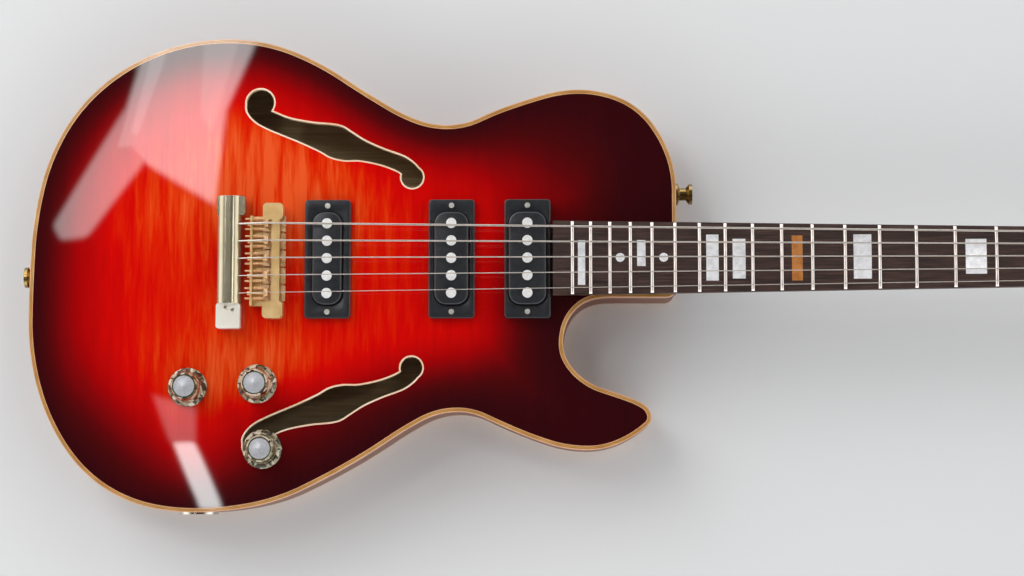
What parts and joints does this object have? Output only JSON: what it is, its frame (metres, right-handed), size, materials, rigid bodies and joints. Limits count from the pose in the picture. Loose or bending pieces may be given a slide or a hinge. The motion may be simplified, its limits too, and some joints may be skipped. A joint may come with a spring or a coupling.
{
  "type": "semi-hollow electric guitar",
  "caption": "Semi-hollow electric guitar with one cutaway, f-shaped sound holes, arched top in a red burst, stop tailpiece, bridge, pickups, control knobs and geared tuners.",
  "frame": {"origin": "on the flat back, under the middle string, 2 mm behind the string's saddle line", "axes": "+X along the neck towards the head, +Y towards the bass strings, +Z out of the arched top"},
  "size_m": [0.9736, 0.301, 0.0693],
  "materials": {
    "back_lacquer": "gloss lacquer",
    "side_lacquer": "gloss lacquer",
    "block_maple": "bare",
    "lining_spruce": "bare",
    "cream_binding": "gloss",
    "burst_lacquer": "gloss lacquer",
    "neck_mahogany": "gloss lacquer",
    "truss_steel": "plain",
    "black_cover_plastic": "gloss",
    "nickel_silver": "polished",
    "pearl_inlay": "pearl",
    "amber_inlay": "gloss",
    "rosewood": "oiled",
    "string_steel": "wound",
    "bone": "satin",
    "nickel_plate": "polished",
    "screw_steel": "plain",
    "champagne_gold": "polished gold plate",
    "bridge_gold": "polished gold plate",
    "insert_brass": "plain",
    "spring_steel": "plain",
    "ring_plastic": "gloss",
    "cover_plastic": "gloss",
    "pole_steel": "polished",
    "coil_tape": "tape",
    "magnet_alloy": "rough",
    "foam_rubber": "open cell",
    "amber_knob": "clear amber over gold",
    "pot_steel": "plain",
    "aged_brass": "aged"
  },
  "bodies": {
    "guitar": {"back_plate": "back_lacquer", "bindings": "cream_binding", "bridge_frame": "bridge_gold", "bridge_posts": "champagne_gold", "centre_block": "block_maple", "fingerboard": "rosewood", "fret_markers": "pearl_inlay", "frets": "nickel_silver", "jack_cup": "nickel_plate", "linings": "lining_spruce", "neck": "neck_mahogany", "nut": "bone", "octave_marker": "amber_inlay", "output_jack": "nickel_plate", "pickup_coils": "coil_tape", "pickup_covers": "cover_plastic", "pickup_foam": "foam_rubber", "pickup_magnets": "magnet_alloy", "pickup_plates": "insert_brass", "pickup_rings": "ring_plastic", "pole_pieces": "pole_steel", "pot_nuts": "nickel_plate", "potentiometers": "pot_steel", "saddle_screws": "spring_steel", "saddle_springs": "spring_steel", "side_rim": "side_lacquer", "small_screws": "screw_steel", "strap_buttons": "aged_brass", "strap_screws": "screw_steel", "strings": "string_steel", "stud_bushings": "insert_brass", "tailpiece": "champagne_gold", "tailpiece_studs": "champagne_gold", "top_plate": "burst_lacquer", "truss_rod": "truss_steel", "truss_rod_cover": "black_cover_plastic", "tuner_bushings": "nickel_plate", "tuner_housings": "nickel_plate"},
    "tuner_1_post": {"tuner_post_1": "nickel_plate"},
    "tuner_1_button": {"tuner_button_1": "nickel_plate"},
    "tuner_2_post": {"tuner_post_2": "nickel_plate"},
    "tuner_2_button": {"tuner_button_2": "nickel_plate"},
    "tuner_3_post": {"tuner_post_3": "nickel_plate"},
    "tuner_3_button": {"tuner_button_3": "nickel_plate"},
    "tuner_4_post": {"tuner_post_4": "nickel_plate"},
    "tuner_4_button": {"tuner_button_4": "nickel_plate"},
    "tuner_5_post": {"tuner_post_5": "nickel_plate"},
    "tuner_5_button": {"tuner_button_5": "nickel_plate"},
    "saddle_1_slide": {"saddle_1": "bridge_gold"},
    "saddle_2_slide": {"saddle_2": "bridge_gold"},
    "saddle_3_slide": {"saddle_3": "bridge_gold"},
    "saddle_4_slide": {"saddle_4": "bridge_gold"},
    "saddle_5_slide": {"saddle_5": "bridge_gold"},
    "tone_control": {"tone_knob": "amber_knob"},
    "volume_control": {"volume_knob": "amber_knob"},
    "balance_control": {"balance_knob": "amber_knob"}
  },
  "joints": [
    {"name": "tuner_1_post_turn", "type": "hinge", "parent": "guitar", "child": "tuner_1_post", "pos_m": [0.69386, 0.024, 0.04824], "axis": [0.1392, 0, 0.9903], "continuous": true},
    {"name": "tuner_1_button_turn", "type": "hinge", "parent": "guitar", "child": "tuner_1_button", "pos_m": [0.6985, 0.024, 0.02486], "axis": [0, 1, 0], "continuous": true},
    {"name": "tuner_2_post_turn", "type": "hinge", "parent": "guitar", "child": "tuner_2_post", "pos_m": [0.73545, 0.024, 0.04239], "axis": [0.1392, 0, 0.9903], "continuous": true},
    {"name": "tuner_2_button_turn", "type": "hinge", "parent": "guitar", "child": "tuner_2_button", "pos_m": [0.7401, 0.024, 0.01902], "axis": [0, 1, 0], "continuous": true},
    {"name": "tuner_3_post_turn", "type": "hinge", "parent": "guitar", "child": "tuner_3_post", "pos_m": [0.77704, 0.024, 0.03655], "axis": [0.1392, 0, 0.9903], "continuous": true},
    {"name": "tuner_3_button_turn", "type": "hinge", "parent": "guitar", "child": "tuner_3_button", "pos_m": [0.78169, 0.024, 0.01317], "axis": [0, 1, 0], "continuous": true},
    {"name": "tuner_4_post_turn", "type": "hinge", "parent": "guitar", "child": "tuner_4_post", "pos_m": [0.75229, -0.024, 0.04003], "axis": [0.1392, 0, 0.9903], "continuous": true},
    {"name": "tuner_4_button_turn", "type": "hinge", "parent": "guitar", "child": "tuner_4_button", "pos_m": [0.75693, -0.024, 0.01665], "axis": [0, 1, 0], "continuous": true},
    {"name": "tuner_5_post_turn", "type": "hinge", "parent": "guitar", "child": "tuner_5_post", "pos_m": [0.7107, -0.024, 0.04587], "axis": [0.1392, 0, 0.9903], "continuous": true},
    {"name": "tuner_5_button_turn", "type": "hinge", "parent": "guitar", "child": "tuner_5_button", "pos_m": [0.71534, -0.024, 0.0225], "axis": [0, 1, 0], "continuous": true},
    {"name": "saddle_1_travel", "type": "slide", "parent": "guitar", "child": "saddle_1_slide", "axis": [1, 0, 0], "range_m": [-0.0015, 0.0015], "deforming": ["saddle_springs"]},
    {"name": "saddle_2_travel", "type": "slide", "parent": "guitar", "child": "saddle_2_slide", "axis": [1, 0, 0], "range_m": [-0.0015, 0.0015], "deforming": ["saddle_springs"]},
    {"name": "saddle_3_travel", "type": "slide", "parent": "guitar", "child": "saddle_3_slide", "axis": [1, 0, 0], "range_m": [-0.0015, 0.0015], "deforming": ["saddle_springs"]},
    {"name": "saddle_4_travel", "type": "slide", "parent": "guitar", "child": "saddle_4_slide", "axis": [1, 0, 0], "range_m": [-0.0015, 0.0015], "deforming": ["saddle_springs"]},
    {"name": "saddle_5_travel", "type": "slide", "parent": "guitar", "child": "saddle_5_slide", "axis": [1, 0, 0], "range_m": [-0.0015, 0.0015], "deforming": ["saddle_springs"]},
    {"name": "tone_knob_turn", "type": "hinge", "parent": "guitar", "child": "tone_control", "pos_m": [-0.048, -0.0801, 0.055], "axis": [0, 0, 1], "range_deg": [-150, 150]},
    {"name": "volume_knob_turn", "type": "hinge", "parent": "guitar", "child": "volume_control", "pos_m": [-0.0042, -0.0781, 0.055], "axis": [0, 0, 1], "range_deg": [-150, 150]},
    {"name": "balance_knob_turn", "type": "hinge", "parent": "guitar", "child": "balance_control", "pos_m": [-0.0006, -0.1188, 0.055], "axis": [0, 0, 1], "range_deg": [-150, 150]}
  ],
  "couplings": [
    {"joint": "tuner_1_post_turn", "follows": "tuner_1_button_turn", "ratio": 0.066667},
    {"joint": "tuner_2_post_turn", "follows": "tuner_2_button_turn", "ratio": 0.066667},
    {"joint": "tuner_3_post_turn", "follows": "tuner_3_button_turn", "ratio": 0.066667},
    {"joint": "tuner_4_post_turn", "follows": "tuner_4_button_turn", "ratio": -0.066667},
    {"joint": "tuner_5_post_turn", "follows": "tuner_5_button_turn", "ratio": -0.066667}
  ]
}
